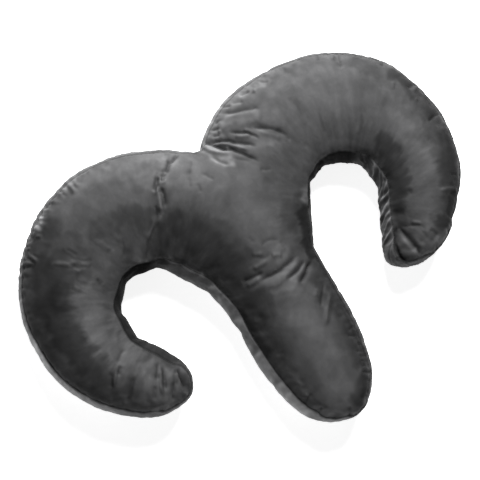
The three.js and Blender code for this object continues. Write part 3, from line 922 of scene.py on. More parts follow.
toneAndShadeStrokes = [
    # the left arm
    toneAndShadeStroke(37, -1.05, (-498, 268), (-513, 225), (-528, 160), (-530, 90), (-517, 20), (-500, -32)),
    toneAndShadeStroke(25, -0.6, (-458, 352), (-424, 336)),
    toneAndShadeStroke(15, -0.5, (-492, 150), (-486, 112)),
    toneAndShadeStroke(16, -0.3, (-512, 30), (-512, -20)),
    toneAndShadeStroke(12, 0.35, (-584, 45), (-572, -5)),
    toneAndShadeStroke(12, -0.45, (-488, 70), (-486, 38)),
    toneAndShadeStroke(18, -0.6, (-496, 326), (-476, 306)),
    toneAndShadeStroke(12, -0.4, (-462, 192), (-446, 180)),
    toneAndShadeStroke(28, -0.6, (-448, 262), (-484, 232), (-494, 165)),
    toneAndShadeStroke(22, -0.4, (-515, 190), (-538, 130), (-535, 60)),
    toneAndShadeStroke(4, 0.4, (-465, 262), (-440, 241), (-424, 216)),
    toneAndShadeStroke(4, 0.35, (-432, 236), (-412, 212)),
    toneAndShadeStroke(3.5, -0.6, (-427, 277), (-418, 261), (-409, 243), (-396, 228)),
    toneAndShadeStroke(4.5, 0.35, (-447, 196), (-428, 181), (-411, 166)),
    toneAndShadeStroke(12, -0.4, (-430, 205), (-412, 188)),
    toneAndShadeStroke(4, -0.5, (-455, 192), (-443, 178), (-431, 163)),
    toneAndShadeStroke(4, -0.35, (-418, 197), (-402, 176)),
    toneAndShadeStroke(8, -0.35, (-470, 232), (-445, 218), (-420, 204)),
    toneAndShadeStroke(4.5, 0.35, (-341, 256), (-338, 238), (-335, 222)),
    toneAndShadeStroke(14, -0.35, (-330, 262), (-318, 240)),
    toneAndShadeStroke(4, -0.3, (-356, 268), (-352, 246), (-347, 226)),
    toneAndShadeStroke(4, -0.4, (-297, 232), (-308, 212), (-318, 196)),
    toneAndShadeStroke(4, 0.3, (-318, 240), (-310, 222)),
    toneAndShadeStroke(6, -0.25, (-292, 262), (-287, 228)),
    toneAndShadeStroke(5, 0.4, (-256, 258), (-252, 240), (-257, 222)),
    toneAndShadeStroke(9, 0.2, (-380, 290), (-372, 240), (-358, 195)),
    toneAndShadeStroke(3.5, -0.4, (-397, 178), (-394, 160)),
    toneAndShadeStroke(12, 0.8, (-505, 350), (-520, 335)),
    toneAndShadeStroke(28, -0.4, (-398, 272), (-438, 300), (-445, 340)),
    toneAndShadeStroke(34, 0.5, (-428, 172), (-452, 110), (-452, 50), (-440, -10)),
    toneAndShadeStroke(26, -0.4, (-440, -62), (-452, -92)),
    toneAndShadeStroke(16, -0.3, (-378, -125), (-392, -145)),
    toneAndShadeStroke(22, 0.35, (-410, -110), (-400, -165)),
    toneAndShadeStroke(13, 0.5, (-430, -182), (-385, -190), (-350, -180)),
    toneAndShadeStroke(13, -0.9, (-372, -28), (-352, -60), (-336, -100)),
    toneAndShadeStroke(12, -0.4, (-343, -135), (-338, -180)),
    toneAndShadeStroke(45, 0.45, (-385, 402), (-280, 430), (-180, 402), (-100, 372)),
    toneAndShadeStroke(24, 1.9, (-465, 375), (-445, 400)),
    toneAndShadeStroke(34, 0.22, (-318, 365), (-315, 310)),
    toneAndShadeStroke(17, -0.4, (-490, 205), (-465, 212), (-440, 212)),
    toneAndShadeStroke(7, 0.35, (-355, 168), (-320, 166), (-290, 160)),
    toneAndShadeStroke(18, 0.7, (-352, 436), (-290, 444)),
    toneAndShadeStroke(5, 0.6, (-335, 158), (-305, 160), (-282, 160)),
    toneAndShadeStroke(9, 1.2, (-244, 150), (-226, 134), (-200, 104), (-172, 60)),
    toneAndShadeStroke(10, 0.4, (-358, -160), (-350, -172)),
    toneAndShadeStroke(14, 0.35, (-480, -128), (-450, -148)),
    toneAndShadeStroke(15, 0.25, (-435, -60), (-425, -72)),
    toneAndShadeStroke(18, 0.4, (-440, -158), (-405, -172)),
    toneAndShadeStroke(13, 0.8, (-535, 322), (-520, 338)),
    toneAndShadeStroke(26, 0.35, (-202, 347), (-165, 330)),
    toneAndShadeStroke(26, -0.5, (-340, 275), (-290, 278), (-250, 270), (-215, 250)),
    toneAndShadeStroke(13, -0.5, (-302, 202), (-298, 190)),
    toneAndShadeStroke(14, 0.35, (-480, -30), (-474, -46)),
    toneAndShadeStroke(10, 0.5, (-305, 162), (-270, 158), (-235, 145)),
    toneAndShadeStroke(9, 0.6, (-236, 142), (-222, 132)),
    toneAndShadeStroke(9, 0.4, (-440, -178), (-405, -186)),
    toneAndShadeStroke(11, -0.5, (-466, 356), (-456, 346)),
    toneAndShadeStroke(14, -0.3, (-384, 400), (-372, 376)),
    toneAndShadeStroke(16, 0.33, (-440, 398), (-405, 418), (-350, 434)),
    toneAndShadeStroke(10, 0.4, (-508, 352), (-500, 340)),
    toneAndShadeStroke(14, -0.3, (-542, 292), (-528, 240)),
    toneAndShadeStroke(18, -0.3, (-478, 188), (-420, 194)),
    toneAndShadeStroke(18, -0.25, (-546, 25), (-528, 2)),
    toneAndShadeStroke(14, -0.25, (-456, -16), (-430, 14)),
    toneAndShadeStroke(14, -0.4, (-488, -82), (-470, -88)),
    toneAndShadeStroke(18, 0.3, (-442, -50), (-418, -62)),
    toneAndShadeStroke(11, 0.35, (-488, 30), (-484, -5)),
    toneAndShadeStroke(14, 0.3, (-430, 104), (-416, 82)),
    toneAndShadeStroke(12, 0.25, (-396, 140), (-378, 156)),
    toneAndShadeStroke(18, -0.35, (-480, 178), (-470, 160)),
    toneAndShadeStroke(14, -0.4, (-556, 200), (-552, 150)),
    toneAndShadeStroke(14, 0.3, (-592, 34), (-562, -8)),
    toneAndShadeStroke(12, 0.3, (-604, 190), (-592, 150)),
    toneAndShadeStroke(4, 0.4, (-350, -118), (-353, -150), (-354, -176)),
    toneAndShadeStroke(5, -0.35, (-341, -122), (-342, -158)),
    toneAndShadeStroke(10, 0.3, (-452, 394), (-444, 360)),
    toneAndShadeStroke(14, 0.3, (-405, 420), (-360, 432)),
    toneAndShadeStroke(12, 0.35, (-538, 322), (-505, 285)),
    toneAndShadeStroke(12, -0.3, (-388, 278), (-376, 252)),
    toneAndShadeStroke(8, 0.5, (-312, 146), (-280, 142)),
    toneAndShadeStroke(9, 0.3, (-512, -104), (-476, -142)),
    # the body
    toneAndShadeStroke(4, -0.5, (-162, 303), (-168, 297)),
    toneAndShadeStroke(14, -0.25, (-200, 160), (-184, 138)),
    toneAndShadeStroke(13, -0.3, (-166, 252), (-154, 232)),
    toneAndShadeStroke(13, 0.65, (-196, 80), (-178, 58)),
    toneAndShadeStroke(9, -0.3, (148, 96), (166, 102)),
    toneAndShadeStroke(12, 0.5, (-190, 82), (-172, 55)),
    toneAndShadeStroke(12, 0.3, (-178, 186), (-130, 184)),
    toneAndShadeStroke(15, -0.35, (-192, 208), (-172, 228)),
    toneAndShadeStroke(12, -0.5, (138, 98), (162, 104)),
    toneAndShadeStroke(9, -0.6, (130, 14), (122, -8)),
    toneAndShadeStroke(10, -0.3, (84, 42), (106, 34)),
    toneAndShadeStroke(12, 0.3, (22, 372), (48, 346)),
    toneAndShadeStroke(12, 0.3, (70, 392), (110, 412)),
    toneAndShadeStroke(10, 0.3, (70, 285), (88, 262)),
    toneAndShadeStroke(12, 0.3, (162, 312), (178, 292)),
    toneAndShadeStroke(27, -0.6, (-240, 172), (-205, 188), (-165, 198)),
    toneAndShadeStroke(12, 0.45, (-190, 98), (-172, 76), (-156, 52)),
    toneAndShadeStroke(4, 0.5, (-190, 232), (-196, 228)),
    toneAndShadeStroke(5, -0.3, (-149, 292), (-154, 278), (-158, 266)),
    toneAndShadeStroke(30, -0.35, (-262, 250), (-222, 245)),
    toneAndShadeStroke(6, 0.25, (-205, 230), (-218, 220), (-246, 198)),
    toneAndShadeStroke(39, -0.7, (-150, 180), (-136, 150), (-124, 105), (-112, 50), (-90, 20)),
    toneAndShadeStroke(18, -0.35, (-98, 182), (-80, 142)),
    toneAndShadeStroke(22, -0.25, (-155, 352), (-112, 346)),
    toneAndShadeStroke(6, 0.35, (-170, 284), (-176, 266)),
    toneAndShadeStroke(30, -0.35, (-130, 212), (-92, 158), (-60, 55)),
    toneAndShadeStroke(46, 0.42, (-72, 372), (-88, 310), (-40, 290), (-20, 255)),
    toneAndShadeStroke(26, 0.4, (-175, 335), (-140, 305)),
    toneAndShadeStroke(4.5, 0.55, (-160, 288), (-160, 277), (-164, 265), (-171, 251), (-180, 238)),
    toneAndShadeStroke(3.5, -0.45, (-142, 328), (-152, 316), (-162, 305), (-168, 292)),
    toneAndShadeStroke(42, 0.3, (50, 205), (22, 150), (20, 80)),
    toneAndShadeStroke(24, -2.2, (147, 60), (138, 36), (122, 5), (111, -35)),
    toneAndShadeStroke(14, -0.3, (-46, 52), (-30, 12)),
    toneAndShadeStroke(12, -0.35, (60, -8), (96, -18)),
    toneAndShadeStroke(6, 0.4, (178, 94), (166, 86)),
    toneAndShadeStroke(26, -0.5, (112, 90), (92, 60)),
    toneAndShadeStroke(17, 1.3, (4, 335), (14, 300), (34, 276)),
    toneAndShadeStroke(16, 1.1, (22, 361), (45, 350), (54, 334)),
    toneAndShadeStroke(10, 0.6, (28, 338), (44, 316)),
    toneAndShadeStroke(11, 0.5, (48, 384), (58, 378)),
    toneAndShadeStroke(20, 0.35, (70, 300), (120, 305), (140, 270)),
    toneAndShadeStroke(25, 0.4, (112, 262), (146, 247)),
    toneAndShadeStroke(16, -0.3, (92, 248), (84, 262)),
    toneAndShadeStroke(20, 0.3, (188, 312), (192, 288)),
    # the leg
    toneAndShadeStroke(11, 0.35, (-92, -392), (-72, -406)),
    toneAndShadeStroke(14, 0.3, (0, -384), (24, -382)),
    toneAndShadeStroke(8, 0.3, (106, -255), (102, -275)),
    toneAndShadeStroke(12, 0.4, (60, -58), (96, -26)),
    toneAndShadeStroke(16, -0.35, (-108, -100), (-92, -100)),
    toneAndShadeStroke(12, 0.3, (8, -8), (26, -14)),
    toneAndShadeStroke(8, 0.25, (-70, -42), (-36, -56)),
    toneAndShadeStroke(8, 0.4, (84, -356), (68, -380)),
    toneAndShadeStroke(12, 0.4, (-18, -392), (-14, -418)),
    toneAndShadeStroke(16, 0.1, (-96, -262), (-84, -288)),
    toneAndShadeStroke(9, 0.4, (104, -255), (100, -275)),
    toneAndShadeStroke(12, 0.3, (-124, -128), (-118, -165), (-100, -172)),
    toneAndShadeStroke(8, -0.3, (72, -136), (56, -160)),
    toneAndShadeStroke(9, 0.35, (34, -70), (56, -54)),
    toneAndShadeStroke(10, -0.3, (-136, -70), (-128, -98)),
    toneAndShadeStroke(9, -0.3, (108, -80), (112, -112)),
    toneAndShadeStroke(4, 0.5, (-98, -18), (-74, -22), (-50, -23)),
    toneAndShadeStroke(6, 0.2, (-84, -36), (-52, -39), (-20, -44), (20, -42)),
    toneAndShadeStroke(4.5, 0.4, (-56, 6), (-38, 5), (-16, 5)),
    toneAndShadeStroke(14, 0.1, (-58, -30), (-20, -45)),
    toneAndShadeStroke(15, 0.5, (-35, -64), (5, -72), (40, -52), (62, -42)),
    toneAndShadeStroke(21, 0.35, (12, -4), (34, 2)),
    toneAndShadeStroke(40, 0.4, (-15, -168), (-15, -230), (-10, -290), (-24, -345)),
    toneAndShadeStroke(24, -0.35, (-92, -60), (-78, -98), (-84, -125)),
    toneAndShadeStroke(12, -1.2, (-136, -85), (-134, -140), (-135, -200)),
    toneAndShadeStroke(18, -0.6, (-116, -78), (-106, -112)),
    toneAndShadeStroke(10, -0.35, (-72, -52), (-58, -80), (-60, -112)),
    toneAndShadeStroke(16, 0.35, (-28, -88), (16, -96)),
    toneAndShadeStroke(6, -0.3, (45, -160), (70, -138)),
    toneAndShadeStroke(14, -0.35, (-66, -334), (-42, -368)),
    toneAndShadeStroke(20, -0.25, (-104, -195), (-96, -215)),
    toneAndShadeStroke(34, -0.75, (62, -62), (94, -105), (95, -200), (86, -270), (80, -332)),
    toneAndShadeStroke(15, -0.8, (112, -55), (116, -130), (106, -215), (92, -320)),
    toneAndShadeStroke(24, -0.3, (60, -235), (85, -265)),
    toneAndShadeStroke(22, -0.9, (5, -395), (35, -388), (58, -382)),
    toneAndShadeStroke(15, 0.6, (-112, -265), (-108, -300), (-98, -345), (-72, -385), (-30, -415)),
    toneAndShadeStroke(11, 0.9, (-14, -440), (10, -436), (38, -420)),
    toneAndShadeStroke(10, 0.8, (-92, -368), (-72, -396), (-45, -420), (-16, -438)),
    toneAndShadeStroke(11, 0.8, (80, -358), (70, -380)),
    toneAndShadeStroke(13, -0.8, (30, -404), (42, -412)),
    toneAndShadeStroke(8, 0.4, (106, -190), (106, -270)),
    toneAndShadeStroke(14, -0.25, (40, -245), (44, -275)),
    # the right arm
    toneAndShadeStroke(5, -0.4, (312, -106), (306, -124)),
    toneAndShadeStroke(6, -0.4, (330, -108), (331, -132)),
    toneAndShadeStroke(10, 0.3, (350, -150), (360, -168)),
    toneAndShadeStroke(12, 0.3, (272, 184), (320, 172), (346, 148)),
    toneAndShadeStroke(12, 0.25, (556, 184), (546, 118)),
    toneAndShadeStroke(14, 0.3, (498, -62), (480, -90)),
    toneAndShadeStroke(9, 0.3, (528, -76), (552, -80)),
    toneAndShadeStroke(16, 0.3, (552, 60), (545, 30)),
    toneAndShadeStroke(10, 0.25, (515, -58), (552, -72)),
    toneAndShadeStroke(11, 0.4, (452, 396), (438, 388)),
    toneAndShadeStroke(10, -0.35, (342, -50), (334, -72)),
    toneAndShadeStroke(10, -0.5, (476, -132), (458, -144)),
    toneAndShadeStroke(12, -0.3, (596, 110), (580, 78)),
    toneAndShadeStroke(14, -0.25, (536, 205), (518, 180)),
    toneAndShadeStroke(13, 0.35, (400, 100), (392, 60)),
    toneAndShadeStroke(9, 0.4, (400, -178), (432, -182)),
    toneAndShadeStroke(26, 0.7, (58, 380), (100, 400), (160, 420), (240, 432)),
    toneAndShadeStroke(17, 0.75, (88, 370), (120, 355), (150, 340)),
    toneAndShadeStroke(24, 0.35, (165, 425), (172, 390)),
    toneAndShadeStroke(75, 0.28, (270, 330), (350, 310)),
    toneAndShadeStroke(12, 0.6, (175, 108), (184, 112)),
    toneAndShadeStroke(24, 0.45, (280, 438), (325, 430)),
    toneAndShadeStroke(22, -0.3, (415, 346), (500, 345)),
    toneAndShadeStroke(26, 0.25, (200, 300), (235, 290)),
    toneAndShadeStroke(5, -0.5, (398, 200), (386, 182), (376, 167)),
    toneAndShadeStroke(4, 0.3, (406, 202), (394, 184)),
    toneAndShadeStroke(8, -0.3, (262, 324), (270, 305), (271, 284)),
    toneAndShadeStroke(4.5, -0.4, (300, 258), (299, 238), (297, 216)),
    toneAndShadeStroke(4, -0.25, (262, 242), (264, 228), (268, 214)),
    toneAndShadeStroke(5, -0.25, (330, 246), (326, 216)),
    toneAndShadeStroke(4, -0.25, (240, 216), (250, 182)),
    toneAndShadeStroke(7, 0.25, (225, 220), (229, 206)),
    toneAndShadeStroke(8, -0.25, (318, 408), (306, 380)),
    toneAndShadeStroke(7, -0.2, (348, 412), (336, 384)),
    toneAndShadeStroke(8, -0.4, (134, 320), (165, 298), (186, 272)),
    toneAndShadeStroke(25, -1.1, (412, 115), (408, 75), (400, 20), (382, -10), (364, -42)),
    toneAndShadeStroke(14, -0.8, (352, -50), (347, -86)),
    toneAndShadeStroke(4.5, -1.1, (326, -92), (313, -108), (304, -128), (300, -150), (304, -174)),
    toneAndShadeStroke(6, -0.5, (333, -98), (337, -125), (342, -150), (346, -174)),
    toneAndShadeStroke(8, 0.3, (314, -128), (316, -150), (328, -172)),
    toneAndShadeStroke(10, 1.05, (308, -158), (328, -174), (370, -188), (430, -172), (460, -158)),
    toneAndShadeStroke(11, 0.5, (346, -163), (378, -168)),
    toneAndShadeStroke(10, 0.8, (240, 150), (262, 159), (285, 162), (310, 155), (335, 137)),
    toneAndShadeStroke(24, -0.6, (548, 112), (533, 60)),
    toneAndShadeStroke(16, -0.3, (540, 140), (535, 120)),
    toneAndShadeStroke(8, -0.4, (352, 30), (376, 10)),
    toneAndShadeStroke(16, -0.4, (420, -118), (455, -106)),
    toneAndShadeStroke(18, -0.35, (506, 70), (506, 32)),
    toneAndShadeStroke(14, 0.4, (420, 62), (410, 36)),
    toneAndShadeStroke(12, -0.3, (222, 240), (232, 218)),
    toneAndShadeStroke(13, -0.3, (440, 112), (440, 90)),
    toneAndShadeStroke(12, 0.3, (560, 190), (556, 168)),
    toneAndShadeStroke(3, -0.4, (358, -106), (376, -116), (388, -136)),
    toneAndShadeStroke(20, -0.5, (380, -155), (420, -160)),
    toneAndShadeStroke(14, -0.4, (588, 160), (588, 110)),
    toneAndShadeStroke(32, 0.3, (452, 170), (470, 110), (470, 30), (442, 8)),
    toneAndShadeStroke(30, -0.5, (470, 335), (502, 302)),
    toneAndShadeStroke(18, -0.3, (500, 262), (506, 236)),
    toneAndShadeStroke(27, -1.0, (540, 260), (560, 205), (572, 150), (572, 116)),
    toneAndShadeStroke(35, -1.25, (566, 42), (552, 8), (528, -25), (500, -90)),
    toneAndShadeStroke(18, -1.2, (520, -85), (470, -132), (435, -138)),
]

# Their edges: how soft, how far they wander, and how long the fingers along the wide ones are
strokeEdge = {
    "soft": 5.0,
    "softShare": 0.55,
    "size": 45.0,
    "wander": 12.0,
    "smallSize": 14.0,
    "smallWander": 3.0,
    "fingers": 12.0,
    "fingerWidth": 19.0,
    "fingerLength": 90.0,
    "fingeredFrom": 15,
    "inside": 0.92,  # of the half width, where the edge is half way
    "margin": 1.7,
}

# Soft patches and streaks where the pile lies differently. They run across the limbs, so they
# fan out around the two openings, and lie across the leg.
patches = {
    "turns": [(-290, 40), (270, 20)],
    "ring": 230.0,  # how far from there the widths hold
    "width": 30.0,
    "length": 46.0,
    "steps": 3.0,
    "light": 0.42,
    "bandLight": 0.32,
    "streakWidth": 11.0,
    "streakLength": 50.0,
    "streakSteps": 2.5,
    "streakLight": 0.14,
    "meeting": 140.0,  # how far from the middle line one fan gives way to the other
    "rough": 0.9,
}


def paintedSlopeShade(cover, normals):
    # painted light and shade of an upper panel, from its slope along the brushed way and its slope across
    # it
    ahead = np.array(planDirection(pileShading["towards"]))[:2]
    steep = np.maximum(1e-6, np.hypot(normals[:, 0], normals[:, 1]))
    slope = normals[:, :2] * np.minimum(1, pileShading["steepest"] / steep)[:, None]
    along = slope @ ahead
    across = slope @ np.array((-ahead[1], ahead[0]))
    light = pileShading["lean"] * along + pileShading["along"] * along**2 + pileShading["across"] * across**2
    inside = eased(cover.fromTop / pileShading["edgeReach"])
    return light * (pileShading["edgeShare"] + (1 - pileShading["edgeShare"]) * inside)


def fanned(cover, width, length, octaves=3):
    # a noise drawn out away from the openings, and which way that is
    places = cover.flatPlan / mm
    field = np.zeros(len(places))
    outward = np.zeros(places.shape)
    for x, y in patches["turns"]:
        off = places - (x, y)
        reach = np.hypot(off[:, 0], off[:, 1])
        away = off / reach[:, None]
        near = eased(0.5 + 0.5 * np.sign(x) * places[:, 0] / patches["meeting"])
        spots = np.c_[away * patches["ring"] / width, reach / length]
        rough = [noise.fractal(Vector(spot), patches["rough"], 2.0, octaves) for spot in spots]
        field += near * np.array(rough)
        outward += near[:, None] * away
    return field, outward


# strokes of the pile's tone and of painted highlights and painted shade
def strokesOfToneAndShade(cover):
    points = cover.flatPlan / mm
    raised = flat(points)
    points = points + wandering(raised, strokeEdge["size"], strokeEdge["wander"])[:, :2]
    points = points + wandering(raised, strokeEdge["smallSize"], strokeEdge["smallWander"])[:, :2]
    fingers, outward = fanned(cover, strokeEdge["fingerWidth"], strokeEdge["fingerLength"])
    fingered = points + outward * fingers[:, None] * strokeEdge["fingers"]
    light = np.zeros(len(points))
    for one in toneAndShadeStrokes:
        width = one["width"]
        path = np.array(one["path"])
        margin = strokeEdge["margin"] * width
        places = fingered if width > strokeEdge["fingeredFrom"] else points
        near = np.all((places > path.min(0) - margin) & (places < path.max(0) + margin), axis=1)
        gap, _ = besidePath(places[near], path)
        soft = strokeEdge["soft"] + strokeEdge["softShare"] * width
        inside = strokeEdge["inside"] * width - np.abs(gap)
        light[near] += one["light"] * eased(0.5 + inside / soft)
    return light


def stepped(values, steps, steep=3.0):
    # soft terraces, which give the patches an edge
    scaled = values * steps
    low = np.floor(scaled)
    return (low + eased((scaled - low - 0.5) * steep + 0.5)) / steps


def pileToneAndShading(cover, beside=3):
    # the pile's tone and its painted light and shade at every point; the seam's way is read from points on
    # either side
    normals = cover.normals()
    step = cover.perimeter / cover.count
    at = (cover.run / step).astype(int) % cover.count
    rim = cover.points[cover.topRing]
    # the band's painted light and shade: by place, by how its tucks face, and painted shade just under the
    # seam
    band = alongSeams(rim, "light")[at]
    way = np.roll(rim, -beside, 0) - np.roll(rim, beside, 0)
    way /= np.linalg.norm(way, axis=1, keepdims=True)
    leaning = np.clip(np.sum(normals * way[at], axis=1), -pileShading["bandSteepest"], pileShading["bandSteepest"])
    band = band + pileShading["bandTuckShading"] * leaning * (way[at] @ planDirection(pileShading["towards"]))
    band -= pileShading["bandTopShade"] * np.exp(-((cover.fromTop / mm / pileShading["bandTopShadeReach"]) ** 2))
    nap = stepped(fanned(cover, patches["width"], patches["length"])[0], patches["steps"])
    streaks = fanned(cover, patches["streakWidth"], patches["streakLength"], 2)[0]
    panel = paintedSlopeShade(cover, normals) + strokesOfToneAndShade(cover) + patches["light"] * nap
    panel += patches["streakLight"] * stepped(streaks, patches["streakSteps"])
    light = np.where(cover.onTop, panel, band + patches["bandLight"] * nap)
    # painted shade in the creases, by their depth
    light -= pileShading["crease"] * cover.crease
    light[cover.onUnder] = 0
    return light


def makePiece(cover, name):
    mesh = cover.mesh(name)
    mesh.polygons.foreach_set("use_smooth", [True] * len(mesh.polygons))
    return linked(bpy.data.objects.new(name, mesh))


def addValues(piece, name, values):
    layer = piece.data.attributes.new(name, "FLOAT", "POINT")
    layer.data.foreach_set("value", values.astype(np.float32))


# the pile attribute carries the pile's tone together with its painted light and shade
pillow = makePiece(cover, "pillowCover")
addValues(pillow, "pileShading", pileToneAndShading(cover))
addValues(pillow, "seamGap", np.minimum(cover.fromTop, cover.fromLow))
print("pile brushed")


def newMaterial(name, finish):
    # a new material with its finish set, and its shader
    material = bpy.data.materials.new(name)
    material.use_nodes = True
    shade = material.node_tree.nodes["Principled BSDF"]
    for key, value in finish.items():
        shade.inputs[key].default_value = value
    return material, shade


# Lights and floor
studio = {
    "keyAzimuth": 52.0,
    "keyElevation": 43.0,
    "keyDistance": 3.2,
    "keySize": 1.8,
    "keyPower": 250.0,
    "sky": 0.10,
    "floorSize": 40.0,
    "floor": {  # a lit white table
        "Base Color": (0.9, 0.9, 0.9, 1),
        "Roughness": 0.9,
        "Emission Color": (1, 1, 1, 1),
        "Emission Strength": 0.85,
    },
}


def makeStudio(studio):
    rise = math.radians(studio["keyElevation"])
    way = planDirection(studio["keyAzimuth"]) * math.cos(rise) + Vector((0, 0, math.sin(rise)))
    lamp = bpy.data.lights.new("key", "AREA")
    lamp.shape = "DISK"
    lamp.size = studio["keySize"]
    lamp.energy = studio["keyPower"]
    key = linked(bpy.data.objects.new("key", lamp))
    key.location = way * studio["keyDistance"]
    key.rotation_mode = "QUATERNION"
    key.rotation_quaternion = way.to_track_quat("Z", "Y")
    world = bpy.data.worlds.new("sky")
    world.use_nodes = True
    sky = world.node_tree.nodes["Background"]
    sky.inputs["Color"].default_value = (1, 1, 1, 1)
    sky.inputs["Strength"].default_value = studio["sky"]
    scene.world = world
    bpy.ops.mesh.primitive_plane_add(size=studio["floorSize"])
    floor = bpy.context.object
    floor.name = "floor"
    floor.data.materials.append(newMaterial("paleFloor", studio["floor"])[0])
    scene.view_settings.view_transform = "Standard"


makeStudio(studio)
print("studio lit")


class Wire:
    # a node output that takes part in sums, so that shader maths reads as maths
    def __init__(self, tree, socket):
        self.tree = tree
        self.socket = socket

    def plugged(self, socket, value):
        if isinstance(value, Wire):
            self.tree.links.new(value.socket, socket)
        else:
            socket.default_value = value

    def maths(self, operation, *values, clamp=False):
        node = self.tree.nodes.new("ShaderNodeMath")
        node.operation = operation
        node.use_clamp = clamp
        for socket, value in zip(node.inputs, values):
            self.plugged(socket, value)
        return Wire(self.tree, node.outputs[0])

    def node(self, kind, settings=None, output=0, **sockets):
        # a socket goes by its identifier, or by its name with underscores
        node = self.tree.nodes.new(kind)
        for name, value in (settings or {}).items():
            setattr(node, name, value)
        for name, value in sockets.items():
            found = [s for s in node.inputs if name in (s.identifier, s.name.replace(" ", "_"))]
            self.plugged(found[0], value)
        return Wire(self.tree, node.outputs[output])

    def speckle(self, scale, detail=2.0, roughness=0.5):
        # a noise, read at the place that this output gives
        return self.node("ShaderNodeTexNoise", Vector=self, Scale=scale, Detail=detail,
                         Roughness=roughness)

    def tinted(self, light, colour):
        # a colour made lighter or darker by a value
        red, green, blue = (light * part for part in colour)
        return self.node("ShaderNodeCombineColor", Red=red, Green=green, Blue=blue)

    def __add__(self, other):
        return self.maths("ADD", self, other)

    def __sub__(self, other):
        return self.maths("SUBTRACT", self, other)

    def __mul__(self, other):
        return self.maths("MULTIPLY", self, other)

    def __truediv__(self, other):
        return self.maths("DIVIDE", self, other)

    def __radd__(self, other):
        return self.maths("ADD", other, self)

    def __rsub__(self, other):
        return self.maths("SUBTRACT", other, self)

    def __rmul__(self, other):
        return self.maths("MULTIPLY", other, self)

    def __rtruediv__(self, other):
        return self.maths("DIVIDE", other, self)

    def __rpow__(self, other):
        return self.maths("POWER", other, self)


# The thread of both seams: short stitches, sunk between the panels
thread = {
    "Stitch Gap": 0.0048,
    "Stitch Length": 0.0036,
    "Thickness": 0.0008,
    "Lean": 0.16,
    "Seed": 3,
}
threadLook = {
    "colour": (0.015, 0.015, 0.0155),
    "strandScale": 2600.0,
    "strands": 0.7,  # how much they show in the colour, and in the bump
    "bump": 0.5,
    "bumpDepth": 0.0002,
    "wearScale": 60.0,
    "finish": {"Roughness": 0.6},
}


def threadMaterial(look):
    material, shade = newMaterial("thread", look["finish"])
    start = Wire(material.node_tree, None)
    place = start.node("ShaderNodeTexCoord", output=3)
    strands = place.speckle(look["strandScale"], 1.0)
    light = (strands - 0.5) * look["strands"] + place.speckle(look["wearScale"]) + 0.5
    bump = start.node("ShaderNodeBump", Height=strands, Strength=look["bump"], Distance=look["bumpDepth"])
    start.plugged(shade.inputs["Base Color"], start.tinted(light, look["colour"]))
    start.plugged(shade.inputs["Normal"], bump)
    return material


def stitchTree(material):
    tree = bpy.data.node_groups.new("stitching", "GeometryNodeTree")
    tree.is_modifier = True
    sockets = tree.interface
    sockets.new_socket("Geometry", in_out="OUTPUT", socket_type="NodeSocketGeometry")
    sockets.new_socket("Geometry", in_out="INPUT", socket_type="NodeSocketGeometry")
    for name, value in thread.items():
        kind = "NodeSocketInt" if isinstance(value, int) else "NodeSocketFloat"
        sockets.new_socket(name, in_out="INPUT", socket_type=kind)
    given = tree.nodes.new("NodeGroupInput")
    size = {name: Wire(tree, given.outputs[name]) for name in thread}
    seam = Wire(tree, given.outputs["Geometry"])
    path = seam.node("GeometryNodeMeshToCurve", Mesh=seam)
    even = seam.node("GeometryNodeResampleCurve", {"mode": "LENGTH"}, Curve=path, Length=size["Stitch Gap"])
    grain = seam.node("GeometryNodeMeshUVSphere", Segments=6, Rings=5, Radius=0.5)
    stretch = seam.node("ShaderNodeCombineXYZ", X=size["Thickness"], Y=size["Thickness"],
                        Z=size["Stitch Length"])
    stitch = seam.node("GeometryNodeTransform", Geometry=grain, Scale=stretch)
    tangent = seam.node("GeometryNodeInputTangent")
    along = seam.node("FunctionNodeAlignRotationToVector", {"axis": "Z"}, Vector=tangent)
    lean = seam.node("FunctionNodeRandomValue", {"data_type": "FLOAT"}, output=1, Min_001=-1.0,
                     Max_001=1.0, Seed=size["Seed"])
    tilt = seam.node("ShaderNodeCombineXYZ", X=lean * size["Lean"], Y=lean * size["Lean"] * 0.5)
    turned = seam.node("FunctionNodeRotateRotation", {"rotation_space": "LOCAL"}, Rotation=along,
                       Rotate_By=seam.node("FunctionNodeEulerToRotation", Euler=tilt))
    placed = seam.node("GeometryNodeInstanceOnPoints", Points=even, Instance=stitch, Rotation=turned)
    whole = seam.node("GeometryNodeRealizeInstances", Geometry=placed)
    smooth = seam.node("GeometryNodeSetShadeSmooth", Geometry=whole)
    painted = seam.node("GeometryNodeSetMaterial", Geometry=smooth, Material=material)
    seam.plugged(tree.nodes.new("NodeGroupOutput").inputs["Geometry"], painted)
    return tree


def makeStitches(cover):
    # both seam rings as closed lines, then the tree's stitches along them as one plain mesh
    points = np.concatenate([cover.points[cover.topRing], cover.points[cover.lowRing]])
    index = np.arange(cover.count)
    ring = np.c_[index, np.roll(index, -1)]
    line = bpy.data.meshes.new("seamLine")
    line.from_pydata(points.tolist(), np.r_[ring, ring + cover.count].tolist(), [])
    seam = linked(bpy.data.objects.new("seamLine", line))
    sewn = seam.modifiers.new("stitching", "NODES")
    sewn.node_group = stitchTree(threadMaterial(threadLook))
    for socket in sewn.node_group.interface.items_tree:
        if socket.name in thread:
            sewn[socket.identifier] = thread[socket.name]
    graph = bpy.context.evaluated_depsgraph_get()
    mesh = bpy.data.meshes.new_from_object(seam.evaluated_get(graph), depsgraph=graph)
    bpy.data.objects.remove(seam)
    return linked(bpy.data.objects.new("seamStitches", mesh))


stitches = makeStitches(cover)
print("seams stitched,", len(stitches.data.polygons), "faces")


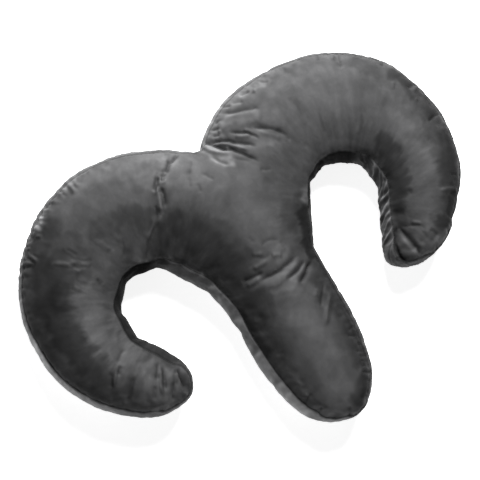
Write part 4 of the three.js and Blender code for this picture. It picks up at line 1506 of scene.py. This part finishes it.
# Velvet: the pile's tone and painted light and shade of every point, with soft mottling, fine brush
# marks and a dark line at the seams
velvetLook = {
    "colour": (0.051, 0.051, 0.0518),
    "mottle": 0.16,  # doublings from the middle to the lightest of the soft mottling
    "mottleScale": 30.0,
    "brush": 0.08,  # the same for fine marks that are drawn out one way
    "brushScale": 120.0,
    "brushTurn": -20.0,
    "brushLength": 0.3,
    "seamDark": 0.55,
    "seamHalf": 0.0016,
    "fibre": 0.25,
    "fibreScale": 700.0,
    "fibreDepth": 0.0006,
    "finish": {
        "Roughness": 0.95,
        "Specular IOR Level": 0.1,
        "Sheen Weight": 0.03,
        "Sheen Roughness": 0.35,
    },
}


def velvetMaterial(look):
    velvet, shade = newMaterial("velvet", look["finish"])
    start = Wire(velvet.node_tree, None)
    place = start.node("ShaderNodeTexCoord", output=3)
    pileShadingMark = start.node("ShaderNodeAttribute", {"attribute_name": "pileShading"}, output=2)
    seamGap = start.node("ShaderNodeAttribute", {"attribute_name": "seamGap"}, output=2)
    mottle = place.speckle(look["mottleScale"], 3.0, 0.55)
    turned = start.node("ShaderNodeMapping", Vector=place, Scale=(1, look["brushLength"], 1),
                        Rotation=(0, 0, math.radians(look["brushTurn"])))
    brush = turned.speckle(look["brushScale"])
    # painted light and shade and tone from the pile attribute, with random mottling and brush marks
    light = pileShadingMark + (mottle - 0.5) * (2 * look["mottle"]) + (brush - 0.5) * (2 * look["brush"])
    seam = start.maths("SUBTRACT", 1.0, seamGap / look["seamHalf"], clamp=True)
    factor = (2.0 ** light) * (1 - seam * look["seamDark"])
    fibre = place.speckle(look["fibreScale"], 2.0, 0.6)
    bump = start.node("ShaderNodeBump", Height=fibre, Strength=look["fibre"], Distance=look["fibreDepth"])
    start.plugged(shade.inputs["Base Color"], start.tinted(factor, look["colour"]))
    start.plugged(shade.inputs["Normal"], bump)
    return velvet


pillow.data.materials.append(velvetMaterial(velvetLook))
print("velvet laid on")

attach(pillow, "root")
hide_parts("pillow")
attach(stitches, "root")
